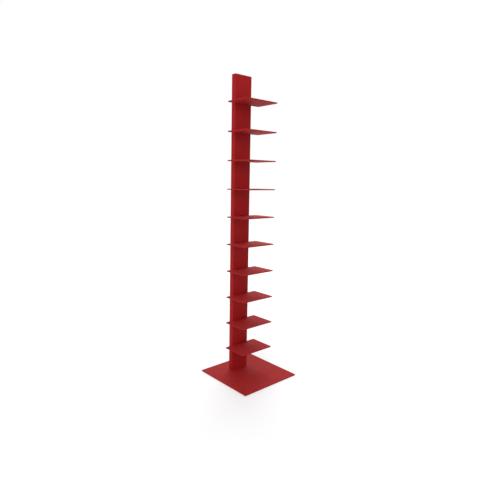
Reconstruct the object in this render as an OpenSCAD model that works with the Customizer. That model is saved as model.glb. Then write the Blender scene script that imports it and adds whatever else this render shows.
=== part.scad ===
// Spine bookshelf: a slim steel column on a square base plate, carrying a stack of small cantilevered shelves.
// Millimetres. +Z is up, the front is -Y, and the origin is the middle of the footprint, on the floor.
// Each shelf has an upturned hook behind it. The hook goes through a slot in the column's front wall and
// bears on the inside of that wall, so that books press the shelf home. The column is two lengths of
// rectangular tube on a hidden sleeve, and is screwed to the base plate from below.

/* [Overall] */
// Height from the floor to the top of the column
total_h = 1524; // [1000:1:1900]

/* [Base plate] */
// Width of the base plate, left to right
base_w = 355.6; // [300:0.1:500]
// Depth of the base plate, front to back
base_d = 355.6; // [300:0.1:500]
// Thickness of the base plate
base_t = 5; // [4.5:0.5:10]
// Radius of the base plate's corners
base_corner_r = 3; // [1:0.5:20]
// Diameter of each pad under the base plate
pad_d = 24; // [12:1:40]
// Thickness of each pad
pad_t = 1; // [0.5:0.5:4]
// Distance of a pad's centre from the two nearest edges
pad_inset = 26; // [22:1:60]

/* [Column] */
// Width of the column, seen from the front
column_w = 105; // [95:0.1:120]
// Depth of the column, front to back
column_d = 28.6; // [24:0.1:40]
// Wall thickness of the column's tube
column_wall = 2; // [1.5:0.1:3]
// Inside radius of the tube's corners
column_inner_r = 0.6; // [0.4:0.1:1.5]
// Distance of the column's front face behind the middle of the base
column_setback = 70; // [30:1:110]
// Thickness of the cap's visible plate
cap_t = 2; // [1:0.5:5]
// Depth of the cap's skirt inside the tube
cap_skirt_h = 14; // [8:1:25]
// Wall thickness of the cap's skirt
cap_skirt_wall = 1.6; // [1:0.1:3]
// Gap between the cap's skirt and the tube, each side
cap_clearance = 0.2; // [0.1:0.05:0.5]

/* [Shelves] */
// Number of shelves
shelf_count = 10; // [3:1:12]
// Height of the lowest shelf's top face above the floor
first_shelf_h = 149.5; // [80:0.5:250]
// Height of the column above the highest shelf's top face
top_margin = 132.5; // [60:0.5:250]
// Width of a shelf, left to right
shelf_w = 199; // [120:1:300]
// Depth of a shelf in front of the column
shelf_d = 138; // [100:0.1:200]
// Thickness of a shelf's sheet
shelf_t = 5; // [2:0.5:6]
// Radius of a shelf's corners
shelf_corner_r = 3; // [1:0.5:10]
// Width of the neck and hook behind a shelf
neck_w = 76; // [50:1:80]
// Height of the hook above the shelf's top face
hook_h = 14; // [8:1:25]
// Radius of the two reliefs where the neck leaves the shelf
relief_r = 1.5; // [0.5:0.5:3]
// Gap between the neck and each end of its slot
slot_side_gap = 0.5; // [0.2:0.1:1]
// Height of a slot above the shelf's top face, to tilt the hook in
slot_head_room = 2; // [1:0.5:4]

/* [Column joint] */
// Length of the sleeve that joins the two tubes
sleeve_len = 110; // [80:1:160]
// Thickness of the sleeve's sheet
sleeve_wall = 3; // [2:0.5:4]
// Gap between the sleeve and the tube's side walls, each side
sleeve_side_gap = 0.3; // [0.1:0.1:0.6]
// Gap between the sleeve and the tube's front wall
sleeve_front_gap = 0.6; // [0.3:0.1:1]
// Distance between the left and right joint screws
joint_spacing = 50; // [30:1:64]
// Distance of the joint screws above and below the seam
joint_rise = 28; // [15:1:32]
// Thread diameter of a joint screw
joint_screw_d = 5; // [4:0.5:6]
// Length of a joint screw under its head
joint_screw_len = 8; // [8:1:14]
// Diameter of a joint screw's domed head
joint_head_d = 9.5; // [9:0.1:12]
// Height of a joint screw's domed head
joint_head_h = 2.7; // [2.2:0.1:3.5]
// Width across the flats of the joint screw's socket
joint_socket_w = 3; // [2.5:0.5:4]
// Depth of the joint screw's socket
joint_socket_h = 1.5; // [1:0.1:2]

/* [Foot] */
// Thickness of the foot bracket's threaded web
foot_web_t = 8; // [7:0.5:14]
// Height of the foot bracket
foot_bracket_h = 30; // [20:1:60]
// Thickness of the foot bracket's two legs
foot_leg_t = 4; // [3:0.5:6]
// Number of foot screws, in one row
foot_screw_count = 4; // [2:1:4]
// Distance between neighbouring foot screws
foot_screw_pitch = 24; // [14:0.5:26]
// Thread diameter of a foot screw
foot_screw_d = 6; // [5:0.5:6]
// Length of a foot screw with its countersunk head
foot_screw_len = 12; // [9:1:12]
// Diameter of a foot screw's countersunk head
foot_head_d = 12; // [10:0.5:13]
// Height of a foot screw's countersunk head
foot_head_h = 3.3; // [3:0.1:4]
// Width across the flats of the foot screw's socket
foot_socket_w = 4; // [3:0.5:5]
// Depth of the foot screw's socket
foot_socket_h = 2.2; // [1.5:0.1:2.5]

/* [Wall anchor] */
// Distance of the anchor nut below the top of the column
anchor_drop = 84; // [40:1:200]
// Bore of the anchor nut's thread
anchor_bore_d = 4.2; // [3.3:0.1:5]
// Diameter of the anchor nut's barrel
anchor_barrel_d = 7; // [6.4:0.1:9]
// Length of the anchor nut behind its flange
anchor_len = 12; // [8:0.5:16]
// Diameter of the anchor nut's flange
anchor_flange_d = 10; // [9.5:0.1:14]
// Thickness of the anchor nut's flange
anchor_flange_t = 0.8; // [0.5:0.1:1.5]
// Diameter of the bulge that grips the wall from inside
anchor_bulge_d = 9; // [8:0.1:13]
// Length of that bulge
anchor_bulge_h = 3; // [2:0.1:5]

/* [Hidden] */
// How far a cut runs past the face that it leaves
cut = 1;
// Gap between a screw's thread and its tapped hole, in radius
thread_gap = 0.05;
// Gap between a screw or barrel and the plain hole that it passes, in radius
hole_gap = 0.25;
// Gap between a countersunk head and its seat, in radius
seat_gap = 0.1;
round_facets = 48;

column_outer_r = column_inner_r + column_wall;
column_y = column_setback + column_d / 2;
column_back_y = column_setback + column_d;
inner_w = column_w - 2 * column_wall;
inner_d = column_d - 2 * column_wall;
inner_back_y = column_back_y - column_wall;
base_top_z = pad_t + base_t;
column_top_z = total_h - cap_t;
shelf_pitch = (total_h - first_shelf_h - top_margin) / (shelf_count - 1);
lower_shelf_count = floor(shelf_count / 2);
seam_z = first_shelf_h + (lower_shelf_count - 1 / 2) * shelf_pitch;
anchor_z = total_h - anchor_drop;
foot_screw_first_x = -foot_screw_pitch * (foot_screw_count - 1) / 2;
joint_dome_r = (pow(joint_head_d / 2, 2) + pow(joint_head_h, 2)) / (2 * joint_head_h);

function shelf_top_z(i) = first_shelf_h + (i - 1) * shelf_pitch;
function shelf_name(i) = str("shelf_", i < 10 ? "0" : "", i);
function hex_r(flats_w) = flats_w / 2 / cos(30);

// A rectangle with round corners, centred, for sheets and tubes
module rounded_rect(w, d, r) {
  square([w - 2 * r, d], center = true);
  square([w, d - 2 * r], center = true);
  for (sx = [-1, 1], sy = [-1, 1])
    translate([sx * (w / 2 - r), sy * (d / 2 - r)])
      circle(r = r, $fn = round_facets);
}

// Places its child at each foot screw's axis
module at_foot_screws() {
  for (i = [0:foot_screw_count - 1])
    translate([foot_screw_first_x + i * foot_screw_pitch, column_y, 0])
      children();
}

// Places its child at each joint screw, with the child's +Z pointing out of the column's back
module at_joint_screws(rises = [-1, 1]) {
  for (sx = [-1, 1], rise = rises)
    translate([sx * joint_spacing / 2, column_back_y, seam_z + rise * joint_rise])
      rotate([-90, 0, 0])
        children();
}

// A length of the column's tube, between two heights
module column_tube(z_low, z_high) {
  translate([0, column_y, z_low])
    linear_extrude(z_high - z_low)
      difference() {
        rounded_rect(column_w, column_d, column_outer_r);
        rounded_rect(inner_w, inner_d, column_inner_r);
      }
}

// Slots in the front wall for the hooks of shelves first to last
module shelf_slots(first, last) {
  slot_w = neck_w + 2 * slot_side_gap;
  for (i = [first:last])
    translate([-slot_w / 2, column_setback - cut, shelf_top_z(i) - shelf_t])
      cube([slot_w, column_wall + 2 * cut, shelf_t + slot_head_room]);
}

// Plain holes in the back wall for the joint screws on one side of the seam
module joint_holes(rise) {
  at_joint_screws([rise])
    translate([0, 0, -column_wall - cut])
      cylinder(h = column_wall + 2 * cut, r = joint_screw_d / 2 + hole_gap, $fn = round_facets);
}

// Square steel plate that the whole tower stands on, countersunk from below
module base_plate() {
  color([0.63, 0.13, 0.13])
    difference() {
      translate([0, 0, pad_t])
        linear_extrude(base_t)
          rounded_rect(base_w, base_d, base_corner_r);
      at_foot_screws() {
        translate([0, 0, pad_t - cut])
          cylinder(h = base_t + 2 * cut, r = foot_screw_d / 2 + hole_gap, $fn = round_facets);
        translate([0, 0, pad_t])
          cylinder(h = foot_head_h + seat_gap, r1 = foot_head_d / 2 + seat_gap,
                   r2 = foot_screw_d / 2 + seat_gap, $fn = round_facets);
      }
    }
}

// Thin round pads near the base plate's corners
module floor_pads() {
  color([0.1, 0.1, 0.1])
    for (sx = [-1, 1], sy = [-1, 1])
      translate([sx * (base_w / 2 - pad_inset), sy * (base_d / 2 - pad_inset), 0])
        cylinder(h = pad_t, r = pad_d / 2, $fn = round_facets);
}

// U-shaped bracket welded into the bottom of the column, threaded for the foot screws
module foot_bracket() {
  bracket_w = inner_w - 2 * sleeve_side_gap;
  color([0.55, 0.55, 0.57])
    difference() {
      translate([-bracket_w / 2, column_setback + column_wall, base_top_z]) {
        cube([bracket_w, inner_d, foot_web_t]);
        cube([foot_leg_t, inner_d, foot_bracket_h]);
        translate([bracket_w - foot_leg_t, 0, 0])
          cube([foot_leg_t, inner_d, foot_bracket_h]);
      }
      at_foot_screws()
        translate([0, 0, base_top_z - cut])
          cylinder(h = foot_web_t + 2 * cut, r = foot_screw_d / 2, $fn = round_facets);
    }
}

// One countersunk foot screw, standing on the base plate's underside
module foot_screw() {
  difference() {
    union() {
      cylinder(h = foot_head_h, r1 = foot_head_d / 2, r2 = foot_screw_d / 2 - thread_gap, $fn = round_facets);
      cylinder(h = foot_screw_len, r = foot_screw_d / 2 - thread_gap, $fn = round_facets);
    }
    translate([0, 0, -cut])
      cylinder(h = foot_socket_h + cut, r = hex_r(foot_socket_w), $fn = 6);
  }
}

module foot_screws() {
  color([0.2, 0.2, 0.21])
    at_foot_screws()
      translate([0, 0, pad_t])
        foot_screw();
}

// Lower length of the column, from the base plate to the seam
module column_lower() {
  color([0.58, 0.11, 0.11])
    difference() {
      column_tube(base_top_z, seam_z);
      shelf_slots(1, lower_shelf_count);
      joint_holes(-1);
    }
}

// Upper length of the column, from the seam to the cap
module column_upper() {
  color([0.6, 0.12, 0.12])
    difference() {
      column_tube(seam_z, column_top_z);
      shelf_slots(lower_shelf_count + 1, shelf_count);
      joint_holes(1);
      translate([0, column_back_y + cut, anchor_z])
        rotate([90, 0, 0])
          cylinder(h = column_wall + 2 * cut, r = anchor_barrel_d / 2 + thread_gap, $fn = round_facets);
    }
}

// Channel inside the column that spans the seam, open to the front and threaded at the back
module joint_sleeve() {
  sleeve_w = inner_w - 2 * sleeve_side_gap;
  sleeve_d = inner_d - sleeve_front_gap;
  color([0.55, 0.55, 0.57])
    difference() {
      translate([-sleeve_w / 2, inner_back_y - sleeve_d, seam_z - sleeve_len / 2])
        difference() {
          cube([sleeve_w, sleeve_d, sleeve_len]);
          translate([sleeve_wall, -cut, -cut])
            cube([sleeve_w - 2 * sleeve_wall, sleeve_d - sleeve_wall + cut, sleeve_len + 2 * cut]);
        }
      at_joint_screws()
        translate([0, 0, -column_wall - sleeve_wall - cut])
          cylinder(h = sleeve_wall + 2 * cut, r = joint_screw_d / 2, $fn = round_facets);
    }
}

// One domed joint screw with a hexagon socket, its head's seat at the origin
module joint_screw() {
  difference() {
    union() {
      rotate_extrude($fn = round_facets)
        intersection() {
          translate([0, joint_head_h - joint_dome_r])
            circle(r = joint_dome_r, $fn = round_facets);
          square([joint_head_d / 2, joint_head_h]);
        }
      translate([0, 0, -joint_screw_len])
        cylinder(h = joint_screw_len, r = joint_screw_d / 2 - thread_gap, $fn = round_facets);
    }
    translate([0, 0, joint_head_h - joint_socket_h])
      cylinder(h = joint_socket_h + cut, r = hex_r(joint_socket_w), $fn = 6);
  }
}

module joint_screws() {
  color([0.2, 0.2, 0.21])
    at_joint_screws()
      joint_screw();
}

// Moulded cap that closes the top of the column, with a skirt inside the tube
module column_cap() {
  skirt_w = inner_w - 2 * cap_clearance;
  skirt_d = inner_d - 2 * cap_clearance;
  color([0.6, 0.12, 0.12])
    translate([0, column_y, column_top_z]) {
      linear_extrude(cap_t)
        rounded_rect(column_w, column_d, column_outer_r);
      translate([0, 0, -cap_skirt_h])
        linear_extrude(cap_skirt_h)
          difference() {
            rounded_rect(skirt_w, skirt_d, column_inner_r);
            square([skirt_w - 2 * cap_skirt_wall, skirt_d - 2 * cap_skirt_wall], center = true);
          }
    }
}

// Blind rivet nut in the column's back wall, for a strap that stops the tower tipping
module anchor_nut() {
  color([0.7, 0.7, 0.72])
    translate([0, column_back_y, anchor_z])
      rotate([-90, 0, 0])
        difference() {
          union() {
            cylinder(h = anchor_flange_t, r = anchor_flange_d / 2, $fn = round_facets);
            translate([0, 0, -anchor_len])
              cylinder(h = anchor_len, r = anchor_barrel_d / 2, $fn = round_facets);
            translate([0, 0, -column_wall - anchor_bulge_h])
              cylinder(h = anchor_bulge_h, r = anchor_bulge_d / 2, $fn = round_facets);
          }
          translate([0, 0, -anchor_len - cut])
            cylinder(h = anchor_len + anchor_flange_t + 2 * cut, r = anchor_bore_d / 2, $fn = round_facets);
        }
}

// Outline of the neck and the upturned hook, in the plane across the shelf.
// The column's front face is at 0 and the shelf's top face is at 0.
module hook_outline() {
  translate([-shelf_t, -shelf_t])
    square([shelf_t + column_wall, shelf_t]);
  translate([column_wall, 0]) {
    square([shelf_t, hook_h]);
    intersection() {
      circle(r = shelf_t, $fn = round_facets);
      translate([0, -shelf_t])
        square(shelf_t);
    }
  }
}

// One shelf: a flat plate with its back edge on the column's face, and the neck and hook behind it
module shelf(i) {
  color([0.57, 0.13, 0.13])
    translate([0, column_setback, shelf_top_z(i)])
      difference() {
        union() {
          translate([0, -shelf_d / 2, -shelf_t])
            linear_extrude(shelf_t)
              rounded_rect(shelf_w, shelf_d, shelf_corner_r);
          rotate([90, 0, 90])
            linear_extrude(neck_w, center = true)
              hook_outline();
        }
        for (sx = [-1, 1])
          translate([sx * (neck_w / 2 + relief_r), 0, -shelf_t - cut])
            cylinder(h = shelf_t + 2 * cut, r = relief_r, $fn = round_facets);
      }
}

base_plate();
floor_pads();
foot_bracket();
foot_screws();
column_lower();
column_upper();
joint_sleeve();
joint_screws();
column_cap();
anchor_nut();
for (i = [1:shelf_count])
  shelf(i);
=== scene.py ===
import math

import bmesh
import bpy
from mathutils import Matrix, Vector


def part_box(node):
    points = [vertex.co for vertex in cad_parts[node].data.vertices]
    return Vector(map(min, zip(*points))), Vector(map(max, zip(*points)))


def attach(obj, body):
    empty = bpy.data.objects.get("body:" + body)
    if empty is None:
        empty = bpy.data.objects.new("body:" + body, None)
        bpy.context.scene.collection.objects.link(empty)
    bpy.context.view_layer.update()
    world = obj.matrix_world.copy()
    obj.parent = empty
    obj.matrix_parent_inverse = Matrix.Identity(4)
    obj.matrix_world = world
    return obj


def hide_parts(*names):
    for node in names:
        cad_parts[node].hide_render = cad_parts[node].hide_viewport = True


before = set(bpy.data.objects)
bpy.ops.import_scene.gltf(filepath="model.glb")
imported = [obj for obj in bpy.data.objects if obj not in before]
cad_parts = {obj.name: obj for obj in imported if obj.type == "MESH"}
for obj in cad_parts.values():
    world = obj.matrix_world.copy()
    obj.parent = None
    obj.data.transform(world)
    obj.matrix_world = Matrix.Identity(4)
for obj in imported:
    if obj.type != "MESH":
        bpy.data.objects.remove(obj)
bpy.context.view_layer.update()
print("frame loaded with", len(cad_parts), "nodes")

mm = 0.001


def addNode(tree, kind, inputs=None, **settings):
    # inputs are given by name or number, as a value or as a socket to link
    node = tree.nodes.new(kind)
    for name, value in settings.items():
        setattr(node, name, value)
    for name, value in (inputs or {}).items():
        if isinstance(value, bpy.types.NodeSocket):
            tree.links.new(value, node.inputs[name])
        else:
            node.inputs[name].default_value = value
    return node


def wire(tree, kind, inputs=None, **settings):
    return addNode(tree, kind, inputs, **settings).outputs[0]


def calc(tree, operation, a, b=0.0, **settings):
    return wire(tree, "ShaderNodeMath", {0: a, 1: b}, operation=operation, **settings)


def point(tree, x=0.0, y=0.0, z=0.0):
    return wire(tree, "ShaderNodeCombineXYZ", {"X": x, "Y": y, "Z": z})


def remap(tree, value, source, target=(0.0, 1.0)):
    # from one range to another, held at its ends
    return wire(tree, "ShaderNodeMapRange",
                {"Value": value, "From Min": source[0], "From Max": source[1],
                 "To Min": target[0], "To Max": target[1]})


def noiseOf(tree, place, size, detail, roughness=0.5):
    # noise with blots of about the given size
    scale = calc(tree, "DIVIDE", 1.0, size)
    return wire(tree, "ShaderNodeTexNoise",
                {"Vector": place, "Scale": scale, "Detail": detail, "Roughness": roughness})


def newTree(name, takes):
    # a geometry tree with one named input for each size, and one geometry output
    tree = bpy.data.node_groups.new(name, "GeometryNodeTree")
    for label, kind in takes.items():
        tree.interface.new_socket(label, in_out="INPUT", socket_type="NodeSocket" + kind)
    tree.interface.new_socket("Geometry", in_out="OUTPUT", socket_type="NodeSocketGeometry")
    return tree, tree.nodes.new("NodeGroupInput").outputs, tree.nodes.new("NodeGroupOutput").inputs[0]


def newGroup(name, takes, gives):
    # a shader group that takes numbers and gives masks or values
    group = bpy.data.node_groups.new(name, "ShaderNodeTree")
    for label, value in takes.items():
        socket = group.interface.new_socket(label, in_out="INPUT", socket_type="NodeSocketFloat")
        socket.default_value = value
    for label in gives:
        group.interface.new_socket(label, in_out="OUTPUT", socket_type="NodeSocketFloat")
    return group, group.nodes.new("NodeGroupInput").outputs, group.nodes.new("NodeGroupOutput").inputs


def placeGroup(tree, group, **values):
    node = tree.nodes.new("ShaderNodeGroup")
    node.node_tree = group
    for name, value in values.items():
        node.inputs[name].default_value = value
    return node.outputs


grainMix = {
    "speckHeight": 0.35,        # of the specks in the height, beside the whole peel
    "patchTone": 1.4,           # of the patches and the specks in tone and gloss: about 1 in all
    "speckTone": 0.6,
}


def makeCoatGrain():
    # fine orange peel with smaller specks, and slow patches of tone and gloss
    group, takes, gives = newGroup(
        "coatGrain",
        {"peelSize": 2.2 * mm, "speckSize": 0.7 * mm, "patchSize": 160 * mm,
         "toneSpread": 0.05, "roughness": 0.5, "roughnessSpread": 0.06},
        ("tone", "roughness", "height"))
    place = addNode(group, "ShaderNodeTexCoord").outputs["Object"]

    def scaled(value, factor):
        return calc(group, "MULTIPLY", value, factor)

    peel = noiseOf(group, place, takes["peelSize"], detail=1.0)
    speck = noiseOf(group, place, takes["speckSize"], detail=2.0)
    patch = noiseOf(group, place, takes["patchSize"], detail=3.0)
    height = calc(group, "ADD", peel, scaled(speck, grainMix["speckHeight"]))
    mixed = calc(group, "ADD", scaled(patch, grainMix["patchTone"]), scaled(speck, grainMix["speckTone"]))
    swing = calc(group, "SUBTRACT", mixed, 1.0)
    tone = calc(group, "ADD", 1.0, scaled(swing, takes["toneSpread"]))
    rough = calc(group, "ADD", takes["roughness"], scaled(swing, takes["roughnessSpread"]))
    group.links.new(tone, gives["tone"])
    group.links.new(rough, gives["roughness"])
    group.links.new(height, gives["height"])
    return group


rubRanges = {
    "turn": (0.995, 0.86),      # cosine of the turn at which wear starts, and at which it is full
    "breaks": (0.38, 0.68),     # noise level below which there is no wear, and above which it is whole
}


def makeEdgeRub():
    # 1 where the surface turns over a sharp outer edge, broken up by noise
    group, takes, gives = newGroup("edgeRub", {"radius": 0.8 * mm, "breakSize": 9 * mm}, ("mask",))
    faceNormal = addNode(group, "ShaderNodeNewGeometry").outputs["Normal"]
    rounded = wire(group, "ShaderNodeBevel", {"Radius": takes["radius"]}, samples=6)
    facing = addNode(group, "ShaderNodeVectorMath", {0: faceNormal, 1: rounded}, operation="DOT_PRODUCT")
    turned = remap(group, facing.outputs["Value"], rubRanges["turn"])
    place = addNode(group, "ShaderNodeTexCoord").outputs["Object"]
    breaks = noiseOf(group, place, takes["breakSize"], detail=4.0)
    kept = remap(group, breaks, rubRanges["breaks"])
    group.links.new(calc(group, "MULTIPLY", turned, kept), gives["mask"])
    return group


dustAndSheenRanges = {
    "level": (0.6, 0.98),       # upward part of the normal from which the dust and its painted pale sheen start, and at which they are full
    "spread": (0.3, 0.8),       # noise level below which there is none, and above which it is thickest
}


def makeDustAndSheen():
    # faint dust on faces that look up, which also paints a pale sheen on them
    group, takes, gives = newGroup("dustAndSheen", {"size": 45 * mm}, ("mask",))
    normal = addNode(group, "ShaderNodeNewGeometry").outputs["Normal"]
    upward = addNode(group, "ShaderNodeSeparateXYZ", {"Vector": normal}).outputs["Z"]
    level = remap(group, upward, dustAndSheenRanges["level"])
    place = addNode(group, "ShaderNodeTexCoord").outputs["Object"]
    drifts = noiseOf(group, place, takes["size"], detail=6.0, roughness=0.62)
    spread = remap(group, drifts, dustAndSheenRanges["spread"])
    group.links.new(calc(group, "MULTIPLY", level, spread), gives["mask"])
    return group


coatGrain = makeCoatGrain()
edgeRub = makeEdgeRub()
dustAndSheen = makeDustAndSheen()


def newMaterial(name):
    material = bpy.data.materials.new(name)
    material.use_nodes = True
    tree = material.node_tree
    tree.nodes.clear()
    output = tree.nodes.new("ShaderNodeOutputMaterial")
    shader = tree.nodes.new("ShaderNodeBsdfPrincipled")
    tree.links.new(shader.outputs[0], output.inputs["Surface"])
    return material, tree, shader


def blendColour(tree, factor, a, b, mode="MIX"):
    # a and b are colours or sockets
    node = tree.nodes.new("ShaderNodeMix")
    node.data_type = "RGBA"
    node.blend_type = mode
    for slot, value in ((0, factor), (6, a), (7, b)):
        if isinstance(value, bpy.types.NodeSocket):
            tree.links.new(value, node.inputs[slot])
        else:
            node.inputs[slot].default_value = value
    return node.outputs[2]


def addBump(tree, shader, height, depth):
    bump = wire(tree, "ShaderNodeBump", {"Height": height, "Distance": depth})
    tree.links.new(bump, shader.inputs["Normal"])


def makeCoat(name, look):
    # powder coat, moulded plastic or rubber: grain, rubbed edges and, where asked, dust that also paints a
    # pale sheen on faces that look up
    material, tree, shader = newMaterial(name)
    grain = placeGroup(tree, coatGrain, **look["grain"])
    colour = blendColour(tree, 1.0, look["colour"], grain["tone"], "MULTIPLY")
    rubbed = calc(tree, "MULTIPLY", placeGroup(tree, edgeRub)["mask"], look["rubShare"])
    colour = blendColour(tree, rubbed, colour, look["rubColour"])
    # dust on upward faces, also a painted pale sheen on them
    if "dustAndSheenShare" in look:
        dustAndSheenMask = calc(tree, "MULTIPLY", placeGroup(tree, dustAndSheen)["mask"], look["dustAndSheenShare"])
        colour = blendColour(tree, dustAndSheenMask, colour, look["dustAndSheenColour"])
    tree.links.new(colour, shader.inputs["Base Color"])
    tree.links.new(grain["roughness"], shader.inputs["Roughness"])
    shader.inputs["Specular IOR Level"].default_value = look["specular"]
    addBump(tree, shader, grain["height"], look["depth"])
    return material


coatLook = {
    "colour": (0.35, 0.0045, 0.006, 1),
    "grain": {"peelSize": 2.2 * mm, "speckSize": 0.7 * mm, "toneSpread": 0.04,
              "roughness": 0.68, "roughnessSpread": 0.08},
    "rubShare": 0.22,
    "rubColour": (0.46, 0.045, 0.04, 1),
    # dust on faces that look up, also a painted pale sheen on them
    "dustAndSheenShare": 0.03,
    "dustAndSheenColour": (0.55, 0.47, 0.43, 1),
    "specular": 0.2,
    "depth": 0.05 * mm,
}
capLook = {
    "colour": (0.335, 0.005, 0.0065, 1),
    "grain": {"peelSize": 0.9 * mm, "speckSize": 0.35 * mm, "toneSpread": 0.04,
              "roughness": 0.62, "roughnessSpread": 0.05},
    "rubShare": 0.2,
    # dust on faces that look up, also a painted pale sheen on them
    "rubColour": (0.4, 0.03, 0.028, 1),
    "dustAndSheenShare": 0.03,
    "dustAndSheenColour": (0.55, 0.47, 0.43, 1),
    "specular": 0.25,
    "depth": 0.03 * mm,
}


metalRange = (0.2, 0.8)         # what the patches and lines span together
metalGlossSpread = 0.07         # up and down from the roughness
patchShare = 0.5                # of the patches in the tone: the rest is lines


def makeMetal(name, look):
    # plated or blackened steel: crystal patches and fine drawing lines
    material, tree, shader = newMaterial(name)
    place = addNode(tree, "ShaderNodeTexCoord").outputs["Object"]
    patches = addNode(tree, "ShaderNodeTexVoronoi", {"Vector": place, "Scale": 1 / look["patchSize"]})
    patch = wire(tree, "ShaderNodeSeparateColor", {"Color": patches.outputs["Color"]})
    stretched = wire(tree, "ShaderNodeMapping", {"Vector": place, "Scale": look["lineStretch"]})
    lines = noiseOf(tree, stretched, look["lineSize"], detail=3.0)
    both = calc(tree, "ADD", calc(tree, "MULTIPLY", patch, patchShare),
                calc(tree, "MULTIPLY", lines, 1 - patchShare))
    tone = remap(tree, both, metalRange, (1 - look["toneSpread"], 1 + look["toneSpread"]))
    colour = blendColour(tree, 1.0, look["colour"], tone, "MULTIPLY")
    rubbed = calc(tree, "MULTIPLY", placeGroup(tree, edgeRub)["mask"], look["rubShare"])
    tree.links.new(blendColour(tree, rubbed, colour, look["rubColour"]), shader.inputs["Base Color"])
    duller, glossier = look["roughness"] + metalGlossSpread, look["roughness"] - metalGlossSpread
    tree.links.new(remap(tree, both, metalRange, (glossier, duller)), shader.inputs["Roughness"])
    shader.inputs["Metallic"].default_value = 1.0
    addBump(tree, shader, both, look["depth"])
    return material


zincLook = {
    "colour": (0.52, 0.53, 0.55, 1),
    "patchSize": 3.5 * mm,
    "lineSize": 1.2 * mm,
    "lineStretch": (1.0, 1.0, 0.12),
    "toneSpread": 0.14,
    "roughness": 0.36,
    "rubShare": 0.3,
    "rubColour": (0.68, 0.68, 0.68, 1),
    "depth": 0.01 * mm,
}
blackLook = {
    "colour": (0.045, 0.045, 0.05, 1),
    "patchSize": 0.8 * mm,
    "lineSize": 0.4 * mm,
    "lineStretch": (1.0, 1.0, 1.0),
    "toneSpread": 0.25,
    "roughness": 0.4,
    "rubShare": 0.45,
    "rubColour": (0.16, 0.155, 0.15, 1),
    "depth": 0.008 * mm,
}
padLook = {
    "colour": (0.03, 0.03, 0.031, 1),
    "grain": {"peelSize": 0.8 * mm, "speckSize": 0.25 * mm, "toneSpread": 0.3,
              "roughness": 0.85, "roughnessSpread": 0.08},
    "rubShare": 0.5,
    "rubColour": (0.075, 0.072, 0.07, 1),
    "specular": 0.25,
    "depth": 0.06 * mm,
}

redCoat = makeCoat("redCoat", coatLook)
redCap = makeCoat("redCap", capLook)
zincSteel = makeMetal("zincSteel", zincLook)
blackSteel = makeMetal("blackSteel", blackLook)
padRubber = makeCoat("padRubber", padLook)
print("materials made")


def settle(piece):
    # turns what the modifiers make into the piece's own plain mesh
    depsgraph = bpy.context.evaluated_depsgraph_get()
    made = bpy.data.meshes.new_from_object(piece.evaluated_get(depsgraph))
    piece.modifiers.clear()
    piece.data = made
    return piece


def newPiece(name, mesh=None):
    piece = bpy.data.objects.new(name, mesh or bpy.data.meshes.new(name))
    bpy.context.scene.collection.objects.link(piece)
    return piece


def pieceFromTree(name, tree, sizes):
    piece = newPiece(name)
    rule = piece.modifiers.new("rule", "NODES")
    rule.node_group = tree
    for socket in tree.interface.items_tree:
        if socket.in_out == "INPUT":
            rule[socket.identifier] = sizes[socket.name]
    return settle(piece)


weldDistance = 0.002 * mm       # of points that a tree's joined solids share
copyWeldDistance = 0.001 * mm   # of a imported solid's loose triangles
flatAngle = math.radians(0.5)   # up to which its triangles are joined into one face


def pieceFromNode(name, node, material):
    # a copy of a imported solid, with its triangles joined into whole faces
    bm = bmesh.new()
    bm.from_mesh(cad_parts[node].data)
    for layer in list(bm.loops.layers.uv):
        bm.loops.layers.uv.remove(layer)
    bmesh.ops.remove_doubles(bm, verts=bm.verts, dist=copyWeldDistance)
    bmesh.ops.dissolve_limit(bm, angle_limit=flatAngle, verts=bm.verts, edges=bm.edges)
    bmesh.ops.recalc_face_normals(bm, faces=bm.faces)
    mesh = bpy.data.meshes.new(name)
    bm.to_mesh(mesh)
    bm.free()
    while mesh.attributes.get("custom_normal"):
        mesh.attributes.remove(mesh.attributes["custom_normal"])
    mesh.materials.clear()
    mesh.materials.append(material)
    return newPiece(name, mesh)


edgeSteps = 3                   # faces across a rounded edge
edgeAngle = math.radians(32)    # from which an edge is rounded
bigFaceWeight = 80              # of big faces over small ones, in the shading
creaseAngle = math.radians(35)  # from which an edge of a screw is left sharp


def roundEdges(piece, width):
    # a small radius on every sharp edge, with flat faces kept flat
    piece.data.shade_smooth()
    edge = piece.modifiers.new("edge", "BEVEL")
    edge.width = width
    edge.segments = edgeSteps
    edge.limit_method = "ANGLE"
    edge.angle_limit = edgeAngle
    edge.use_clamp_overlap = False
    shade = piece.modifiers.new("shade", "WEIGHTED_NORMAL")
    shade.weight = bigFaceWeight
    return settle(piece)


def creaseShading(piece):
    piece.data.shade_smooth()
    piece.data.set_sharp_from_angle(angle=creaseAngle)
    return piece


def report(piece):
    bm = bmesh.new()
    bm.from_mesh(piece.data)
    openEdges = sum(1 for edge in bm.edges if not edge.is_manifold)
    volume = bm.calc_volume(signed=True)
    print(f"  {piece.name}: {len(bm.faces)} faces, {openEdges} open edges, {volume * 1e6:.2f} cm3")
    bm.free()


def finish(piece, node):
    report(piece)
    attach(piece, "root")
    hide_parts(node)
    return piece


def prism(tree, outline, offset):
    # a closed solid from a flat outline; offset points along +Z
    face = wire(tree, "GeometryNodeFillCurve", {"Curve": outline}, mode="NGONS")
    walls = wire(tree, "GeometryNodeExtrudeMesh", {"Mesh": face, "Offset": offset, "Individual": False})
    base = wire(tree, "GeometryNodeFlipFaces", {"Mesh": face})
    both = tree.nodes.new("GeometryNodeJoinGeometry")
    tree.links.new(walls, both.inputs[0])
    tree.links.new(base, both.inputs[0])
    return wire(tree, "GeometryNodeMergeByDistance",
                {"Geometry": both.outputs[0], "Distance": weldDistance})


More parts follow.
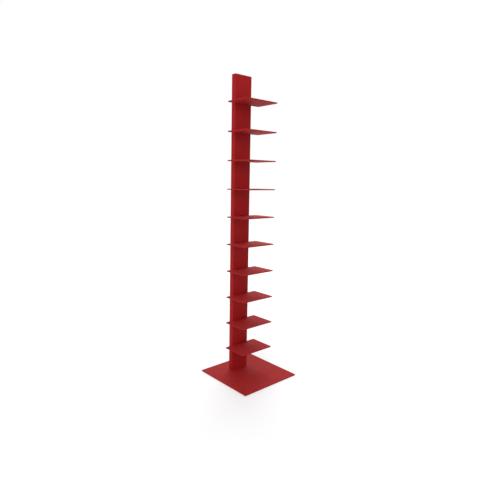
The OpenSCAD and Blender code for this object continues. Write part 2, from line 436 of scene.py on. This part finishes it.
def boolean(tree, operation, first, *others):
    # for a union, first is one of the joined solids
    node = tree.nodes.new("GeometryNodeMeshBoolean")
    node.operation = operation
    node.solver = "EXACT"
    if operation == "DIFFERENCE":
        tree.links.new(first, node.inputs["Mesh 1"])
    else:
        tree.links.new(first, node.inputs["Mesh 2"])
    for other in others:
        tree.links.new(other, node.inputs["Mesh 2"])
    return node.outputs[0]


def polygon(tree, corners):
    # a closed outline through points given as sockets or tuples
    line = wire(tree, "GeometryNodeMeshLine", {"Count": len(corners)})
    index = wire(tree, "GeometryNodeInputIndex")
    pick = tree.nodes.new("GeometryNodeIndexSwitch")
    pick.data_type = "VECTOR"
    while len(pick.index_switch_items) < len(corners):
        pick.index_switch_items.new()
    tree.links.new(index, pick.inputs["Index"])
    for number, corner in enumerate(corners):
        tree.links.new(corner, pick.inputs[number + 1])
    placed = wire(tree, "GeometryNodeSetPosition", {"Geometry": line, "Position": pick.outputs[0]})
    curve = wire(tree, "GeometryNodeMeshToCurve", {"Mesh": placed})
    return wire(tree, "GeometryNodeSetSplineCyclic", {"Geometry": curve, "Cyclic": True})


def endTree(tree, geometry, material, output):
    realized = wire(tree, "GeometryNodeRealizeInstances", {"Geometry": geometry})
    finished = wire(tree, "GeometryNodeSetMaterial", {"Geometry": realized, "Material": material})
    tree.links.new(finished, output)


shelfTakes = {
    "Width": "Float", "Depth": "Float", "Thickness": "Float", "Corner Radius": "Float",
    "Neck Width": "Float", "Wall": "Float", "Hook Height": "Float", "Relief Radius": "Float",
    "Back": "Float", "Top": "Float", "Material": "Material",
}
cornerSteps = 8                 # points round a corner of the plate
bendSteps = 10                  # and round the bend into the hook
bendShare = 0.98                # of the sheet's thickness, for the bend's outer radius
reliefSides = 32
reliefReach = 4.0               # of the thickness, for the length of what cuts the reliefs


def makeShelfTree():
    # one bent sheet: plate, neck through the column's front wall, and upturned hook
    tree, takes, output = newTree("hookedShelf", shelfTakes)
    thick = takes["Thickness"]
    wall = takes["Wall"]
    under = calc(tree, "MULTIPLY", thick, -1.0)
    reach = calc(tree, "ADD", wall, thick)

    rectangle = wire(tree, "GeometryNodeCurvePrimitiveQuadrilateral",
                     {"Width": takes["Width"], "Height": takes["Depth"]})
    outline = wire(tree, "GeometryNodeFilletCurve",
                   {"Curve": rectangle, "Count": cornerSteps, "Radius": takes["Corner Radius"]},
                   mode="POLY")
    plate = prism(tree, outline, point(tree, z=thick))
    middle = calc(tree, "MULTIPLY", takes["Depth"], -0.5)
    plate = wire(tree, "GeometryNodeTransform",
                 {"Geometry": plate, "Translation": point(tree, y=middle, z=under)})

    side = polygon(tree, [
        point(tree, under, under), point(tree, reach, under), point(tree, reach, takes["Hook Height"]),
        point(tree, wall, takes["Hook Height"]), point(tree, wall, 0.0), point(tree, under, 0.0)])
    bend = wire(tree, "FunctionNodeCompare", {2: wire(tree, "GeometryNodeInputIndex"), 3: 1},
                data_type="INT", operation="EQUAL")
    bendRadius = calc(tree, "MULTIPLY", bend, calc(tree, "MULTIPLY", thick, bendShare))
    side = wire(tree, "GeometryNodeFilletCurve",
                {"Curve": side, "Count": bendSteps, "Radius": bendRadius}, mode="POLY")
    hook = prism(tree, side, point(tree, z=takes["Neck Width"]))
    halfNeck = calc(tree, "MULTIPLY", takes["Neck Width"], 0.5)
    hook = wire(tree, "GeometryNodeTransform",
                {"Geometry": hook, "Translation": point(tree, x=calc(tree, "MULTIPLY", halfNeck, -1.0)),
                 "Rotation": (math.radians(90), 0.0, math.radians(90))})

    sheet = boolean(tree, "UNION", plate, hook)
    through = calc(tree, "MULTIPLY", thick, reliefReach)
    relief = wire(tree, "GeometryNodeMeshCylinder",
                  {"Vertices": reliefSides, "Radius": takes["Relief Radius"], "Depth": through})
    notch = calc(tree, "ADD", halfNeck, takes["Relief Radius"])
    pair = wire(tree, "GeometryNodeMeshLine",
                {"Count": 2, "Start Location": point(tree, x=calc(tree, "MULTIPLY", notch, -1.0)),
                 "Offset": point(tree, x=calc(tree, "MULTIPLY", notch, 2.0))})
    reliefs = wire(tree, "GeometryNodeInstanceOnPoints", {"Points": pair, "Instance": relief})
    reliefs = wire(tree, "GeometryNodeRealizeInstances", {"Geometry": reliefs})
    sheet = boolean(tree, "DIFFERENCE", sheet, reliefs)
    sheet = wire(tree, "GeometryNodeMergeByDistance", {"Geometry": sheet, "Distance": weldDistance})
    placed = wire(tree, "GeometryNodeTransform",
                  {"Geometry": sheet, "Translation": point(tree, y=takes["Back"], z=takes["Top"])})
    endTree(tree, placed, takes["Material"], output)
    return tree


shelfSizes = {
    "Thickness": 5 * mm,
    "Corner Radius": 3 * mm,
    "Neck Width": 76 * mm,
    "Wall": 2 * mm,
    "Hook Height": 14 * mm,
    "Relief Radius": 1.5 * mm,
    "Back": 70 * mm,
    "Material": redCoat,
}
shelfEdge = 0.45 * mm

shelfTree = makeShelfTree()
for node in sorted(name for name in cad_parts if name.startswith("shelf_")):
    low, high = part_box(node)
    sizes = dict(shelfSizes)
    sizes["Width"] = high.x - low.x
    sizes["Depth"] = shelfSizes["Back"] - low.y
    sizes["Top"] = low.z + shelfSizes["Thickness"]
    shelf = pieceFromTree(node + "_sheet", shelfTree, sizes)
    roundEdges(shelf, shelfEdge)
    finish(shelf, node)
print("shelves made")


plainPieces = {
    "base_plate": {"edge": 0.7 * mm, "slot": "coat", "material": redCoat},
    "column_lower": {"edge": 0.15 * mm, "slot": "coat", "material": redCoat},
    "column_upper": {"edge": 0.15 * mm, "slot": "coat", "material": redCoat},
    "column_cap": {"edge": 0.4 * mm, "slot": "cap", "material": redCap},
    "foot_bracket": {"edge": 0.5 * mm, "slot": "bare_steel", "material": zincSteel},
    "joint_sleeve": {"edge": 0.4 * mm, "slot": "bare_steel", "material": zincSteel},
    "anchor_nut": {"edge": 0.2 * mm, "slot": "bare_steel", "material": zincSteel},
}
for node, plan in plainPieces.items():
    piece = pieceFromNode(node + "_finished", node, plan["material"])
    roundEdges(piece, plan["edge"])
    finish(piece, node)
print("base plate, column and cap made")


def centredRow(tree, count, step, axis):
    # points in a row along one axis, centred on the origin
    span = calc(tree, "MULTIPLY", calc(tree, "SUBTRACT", count, 1.0), step)
    start = point(tree, **{axis: calc(tree, "MULTIPLY", span, -0.5)})
    return wire(tree, "GeometryNodeMeshLine",
                {"Count": count, "Start Location": start, "Offset": point(tree, **{axis: step})})


def spreadCopies(tree, takes, copy, turn=(0.0, 0.0, 0.0)):
    # a grid of copies in the XY plane, one real mesh; turn is each copy's own rotation
    columns = centredRow(tree, takes["Columns"], takes["Column Step"], "x")
    rows = centredRow(tree, takes["Rows"], takes["Row Step"], "y")
    grid = wire(tree, "GeometryNodeInstanceOnPoints", {"Points": rows, "Instance": columns})
    grid = wire(tree, "GeometryNodeRealizeInstances", {"Geometry": grid})
    copies = wire(tree, "GeometryNodeInstanceOnPoints",
                  {"Points": grid, "Instance": copy, "Rotation": turn})
    return wire(tree, "GeometryNodeRealizeInstances", {"Geometry": copies})


def lathe(tree, stations, radius, corners):
    # a solid of revolution about Z: stations along the axis, with a radius for each
    profile = wire(tree, "GeometryNodeCurvePrimitiveCircle", {"Resolution": corners, "Radius": 1.0})
    return wire(tree, "GeometryNodeCurveToMesh",
                {"Curve": stations, "Profile Curve": profile, "Scale": radius, "Fill Caps": True})


def axisLine(tree, low, high, count):
    ends = {"Start": point(tree, z=low), "End": point(tree, z=high)}
    line = wire(tree, "GeometryNodeCurvePrimitiveLine", ends)
    return wire(tree, "GeometryNodeResampleCurve", {"Curve": line, "Count": count})


threadRings = 8.0               # rings of points up one turn of the thread
threadCorners = 28              # points round it
threadFlank = 1.25              # over 1, so that the groove has a flat bottom


def threadedRod(tree, takes, low, high):
    # a rod with a helical thread: each point's radius follows its angle and height
    length = calc(tree, "SUBTRACT", high, low)
    turns = calc(tree, "DIVIDE", length, takes["Pitch"])
    count = calc(tree, "CEIL", calc(tree, "MULTIPLY", turns, threadRings))
    rod = lathe(tree, axisLine(tree, low, high, count), takes["Thread Radius"], threadCorners)
    place = addNode(tree, "ShaderNodeSeparateXYZ", {0: wire(tree, "GeometryNodeInputPosition")}).outputs
    angle = calc(tree, "DIVIDE", calc(tree, "ARCTAN2", place["Y"], place["X"]), 2 * math.pi)
    climbed = calc(tree, "DIVIDE", place["Z"], takes["Pitch"])
    phase = calc(tree, "FRACT", calc(tree, "SUBTRACT", climbed, angle))
    groove = calc(tree, "ABSOLUTE", calc(tree, "SUBTRACT", calc(tree, "MULTIPLY", phase, 2.0), 1.0))
    cut = calc(tree, "MINIMUM", calc(tree, "MULTIPLY", groove, threadFlank), 1.0)
    depth = calc(tree, "MULTIPLY", cut, takes["Thread Depth"])
    radius = calc(tree, "SUBTRACT", takes["Thread Radius"], depth)
    share = calc(tree, "DIVIDE", radius, takes["Thread Radius"])
    moved = point(tree, calc(tree, "MULTIPLY", place["X"], share),
                  calc(tree, "MULTIPLY", place["Y"], share), place["Z"])
    return wire(tree, "GeometryNodeSetPosition", {"Geometry": rod, "Position": moved})


screwTakes = {
    "Head Radius": "Float", "Head Top Radius": "Float", "Head Height": "Float",
    "Thread Radius": "Float", "Thread Depth": "Float", "Pitch": "Float", "Length": "Float",
    "Socket Width": "Float", "Socket Depth": "Float",
    "Columns": "Int", "Rows": "Int", "Column Step": "Float", "Row Step": "Float",
    "Centre": "Vector", "Turn": "Vector", "Seed": "Int", "Material": "Material",
}
headRings = 14                  # rings of points up a screw's head
headCorners = 40                # points round it
overlap = 0.3 * mm              # of the shank into the head
coneShare = 1.12                # of a countersunk head's height to its cone: over 1 leaves a rim
funnelShares = (0.78, 1.28)     # of the socket's radius, at the funnel's bottom and top


def domedHead(tree, takes):
    # stands on z = 0; gives the head, its top and where the shank ends
    along = wire(tree, "GeometryNodeSplineParameter")
    arc = calc(tree, "SQRT", calc(tree, "SUBTRACT", 1.0, calc(tree, "MULTIPLY", along, along)))
    top = takes["Head Top Radius"]
    spread = calc(tree, "MULTIPLY", arc, calc(tree, "SUBTRACT", takes["Head Radius"], top))
    line = axisLine(tree, 0.0, takes["Head Height"], headRings)
    return lathe(tree, line, calc(tree, "ADD", top, spread), headCorners), takes["Head Height"], overlap


def countersunkHead(tree, takes):
    # hangs below z = 0, a cone with a short rim
    low = calc(tree, "MULTIPLY", takes["Head Height"], -1.0)
    rise = calc(tree, "MULTIPLY", wire(tree, "GeometryNodeSplineParameter"), coneShare, use_clamp=True)
    seat = takes["Thread Radius"]
    spread = calc(tree, "MULTIPLY", rise, calc(tree, "SUBTRACT", takes["Head Radius"], seat))
    head = lathe(tree, axisLine(tree, low, 0.0, headRings), calc(tree, "ADD", seat, spread), headCorners)
    return head, 0.0, calc(tree, "ADD", low, overlap)


def makeScrewTree(name, makeHead):
    # hexagon-socket screws along +Z, heads outwards, in a grid
    tree, takes, output = newTree(name, screwTakes)
    head, top, shankEnd = makeHead(tree, takes)
    tip = calc(tree, "MULTIPLY", takes["Length"], -1.0)
    body = boolean(tree, "UNION", head, threadedRod(tree, takes, tip, shankEnd))

    socketRadius = calc(tree, "DIVIDE", takes["Socket Width"], 2 * math.cos(math.radians(30)))
    socketHeight = calc(tree, "MULTIPLY", takes["Socket Depth"], 2.0)
    socket = wire(tree, "GeometryNodeMeshCylinder",
                  {"Vertices": 6, "Radius": socketRadius, "Depth": socketHeight})
    socket = wire(tree, "GeometryNodeTransform", {"Geometry": socket, "Translation": point(tree, z=top)})
    rim = axisLine(tree, calc(tree, "SUBTRACT", top, overlap), calc(tree, "ADD", top, overlap), 2)
    share = remap(tree, wire(tree, "GeometryNodeSplineParameter"), (0.0, 1.0), funnelShares)
    funnel = lathe(tree, rim, calc(tree, "MULTIPLY", socketRadius, share), headCorners)
    screw = boolean(tree, "DIFFERENCE", body, socket, funnel)

    # each screw stops at its own angle
    stop = addNode(tree, "FunctionNodeRandomValue", {2: 0.0, 3: math.radians(60), "Seed": takes["Seed"]})
    screws = spreadCopies(tree, takes, screw, point(tree, z=stop.outputs[1]))
    placed = wire(tree, "GeometryNodeTransform",
                  {"Geometry": screws, "Translation": takes["Centre"], "Rotation": takes["Turn"]})
    endTree(tree, placed, takes["Material"], output)
    return tree


jointScrewSizes = {
    "Head Radius": 4.7 * mm,
    "Head Top Radius": 2.6 * mm,
    "Head Height": 2.65 * mm,
    "Thread Radius": 2.44 * mm,
    "Thread Depth": 0.4 * mm,
    "Pitch": 0.8 * mm,
    "Length": 8 * mm,
    "Socket Width": 3 * mm,
    "Socket Depth": 1.5 * mm,
    "Columns": 2,
    "Rows": 2,
    "Column Step": 50 * mm,
    "Row Step": 56 * mm,
    "Centre": (0.0, 98.6 * mm, 770.5 * mm),
    "Turn": (math.radians(-90), 0.0, 0.0),
    "Seed": 3,
    "Material": blackSteel,
}
footScrewSizes = {
    "Head Radius": 5.95 * mm,
    "Head Top Radius": 5.95 * mm,
    "Head Height": 3.3 * mm,
    "Thread Radius": 2.94 * mm,
    "Thread Depth": 0.5 * mm,
    "Pitch": 1.0 * mm,
    "Length": 12 * mm,
    "Socket Width": 4 * mm,
    "Socket Depth": 2.2 * mm,
    "Columns": 4,
    "Rows": 1,
    "Column Step": 24 * mm,
    "Row Step": 10 * mm,
    "Centre": (0.0, 84.3 * mm, 1.02 * mm),
    "Turn": (math.radians(180), 0.0, 0.0),
    "Seed": 8,
    "Material": blackSteel,
}
screwPlans = {
    "joint_screws": (makeScrewTree("domedScrews", domedHead), jointScrewSizes),
    "foot_screws": (makeScrewTree("countersunkScrews", countersunkHead), footScrewSizes),
}
for node, (tree, sizes) in screwPlans.items():
    screws = creaseShading(pieceFromTree(node + "_threaded", tree, sizes))
    finish(screws, node)
print("screws made")


padCorners = 56                 # points round a pad
padEdge = 0.25 * mm


def makePadTree():
    # thin round pads in a grid
    tree, takes, output = newTree("floorPads", {
        "Radius": "Float", "Thickness": "Float", "Columns": "Int", "Rows": "Int", "Column Step": "Float",
        "Row Step": "Float", "Material": "Material"})
    circle = wire(tree, "GeometryNodeCurvePrimitiveCircle",
                  {"Resolution": padCorners, "Radius": takes["Radius"]})
    pads = spreadCopies(tree, takes, prism(tree, circle, point(tree, z=takes["Thickness"])))
    endTree(tree, pads, takes["Material"], output)
    return tree


padSizes = {
    "Radius": 12 * mm,
    "Thickness": 1 * mm,
    "Columns": 2,
    "Rows": 2,
    "Column Step": 303.6 * mm,
    "Row Step": 303.6 * mm,
    "Material": padRubber,
}
pads = roundEdges(pieceFromTree("floor_pads_moulded", makePadTree(), padSizes), padEdge)
finish(pads, "floor_pads")
print("pads made")


studio = {
    "floorSize": 60.0,
    "floorColour": (0.9, 0.9, 0.9, 1),
    "floorGlow": (0.15, 0.45),         # near the object and far off, so that the floor is white all over
    "floorGlowReach": (0.7, 3.5),      # in metres from the middle
    "domeStrength": 0.68,
    "lamps": {
        "keyLight": {"power": 44.0, "size": 1.6, "place": (1.4, 1.3, 3.6), "aim": (0.0, 0.0, 0.5)},
        "fillLight": {"power": 37.0, "size": 1.8, "place": (-2.3, -1.9, 2.4), "aim": (0.0, 0.0, 1.1)},
    },
}


def seenRays(tree):
    # 1 for rays that show the background itself: from the camera, in a gloss, or through glass
    rays = tree.nodes.new("ShaderNodeLightPath").outputs
    seen = calc(tree, "MAXIMUM", rays["Is Camera Ray"], rays["Is Glossy Ray"])
    return calc(tree, "MAXIMUM", seen, rays["Is Transmission Ray"])


def makeFloor():
    half = studio["floorSize"] / 2
    mesh = bpy.data.meshes.new("floor")
    corners = [(-half, -half, 0), (half, -half, 0), (half, half, 0), (-half, half, 0)]
    mesh.from_pydata(corners, [], [(0, 1, 2, 3)])
    floor = newPiece("floor", mesh)
    material = bpy.data.materials.new("paleFloor")
    material.use_nodes = True
    tree = material.node_tree
    tree.nodes.clear()
    diffuse = wire(tree, "ShaderNodeBsdfDiffuse", {"Color": studio["floorColour"]})
    place = addNode(tree, "ShaderNodeTexCoord").outputs["Object"]
    distance = addNode(tree, "ShaderNodeVectorMath", {0: place}, operation="LENGTH").outputs["Value"]
    level = remap(tree, distance, studio["floorGlowReach"], studio["floorGlow"])
    strength = calc(tree, "MULTIPLY", seenRays(tree), level)
    glow = wire(tree, "ShaderNodeEmission", {"Color": (1, 1, 1, 1), "Strength": strength})
    both = wire(tree, "ShaderNodeAddShader", {0: diffuse, 1: glow})
    tree.links.new(both, tree.nodes.new("ShaderNodeOutputMaterial").inputs["Surface"])
    mesh.materials.append(material)


def makeWorld():
    world = bpy.data.worlds.new("studioDome")
    bpy.context.scene.world = world
    world.use_nodes = True
    tree = world.node_tree
    tree.nodes.clear()
    lit = wire(tree, "ShaderNodeBackground", {"Color": (1, 1, 1, 1), "Strength": studio["domeStrength"]})
    shown = wire(tree, "ShaderNodeBackground", {"Color": (1, 1, 1, 1), "Strength": 1.0})
    mixed = wire(tree, "ShaderNodeMixShader", {0: seenRays(tree), 1: lit, 2: shown})
    tree.links.new(mixed, tree.nodes.new("ShaderNodeOutputWorld").inputs["Surface"])


def makeLamps():
    for name, plan in studio["lamps"].items():
        data = bpy.data.lights.new(name, "AREA")
        data.energy = plan["power"]
        data.size = plan["size"]
        lamp = bpy.data.objects.new(name, data)
        bpy.context.scene.collection.objects.link(lamp)
        lamp.location = plan["place"]
        ray = Vector(plan["aim"]) - Vector(plan["place"])
        lamp.rotation_euler = ray.to_track_quat("-Z", "Y").to_euler()
        lamp.visible_camera = False


view = {
    "place": (-1.4305, -1.5576, 1.01),
    "yaw": math.radians(48.9966),      # of the line of sight, from +X
    "pitch": math.radians(9.9038),     # downwards
    "roll": math.radians(0.7954),
    "focalPixels": 419.96,
    "imageSize": 480,
    "centre": (238.96, 255.46),        # of the line of sight in the image, in pixels from the top left
    "sensorWidth": 36.0,               # in millimetres, as Blender has it
    "reach": 200.0,                    # in metres, past the floor's far edge
}


def makeCamera():
    yaw, pitch, roll = view["yaw"], view["pitch"], view["roll"]
    sight = Vector((math.cos(pitch) * math.cos(yaw), math.cos(pitch) * math.sin(yaw), -math.sin(pitch)))
    level = Vector((math.sin(yaw), -math.cos(yaw), 0.0))
    above = level.cross(sight)
    right = math.cos(roll) * level + math.sin(roll) * above
    up = -math.sin(roll) * level + math.cos(roll) * above
    data = bpy.data.cameras.new("camera")
    data.sensor_width = view["sensorWidth"]
    data.lens = view["focalPixels"] / view["imageSize"] * data.sensor_width
    data.shift_x = (view["imageSize"] / 2 - view["centre"][0]) / view["imageSize"]
    data.shift_y = (view["centre"][1] - view["imageSize"] / 2) / view["imageSize"]
    data.clip_end = view["reach"]
    camera = bpy.data.objects.new("camera", data)
    bpy.context.scene.collection.objects.link(camera)
    turned = Matrix((right, up, -sight)).transposed().to_4x4()
    camera.matrix_world = Matrix.Translation(view["place"]) @ turned
    bpy.context.scene.camera = camera


makeFloor()
makeWorld()
makeLamps()
makeCamera()
bpy.context.scene.view_settings.view_transform = "Standard"
print("floor, light and camera made")
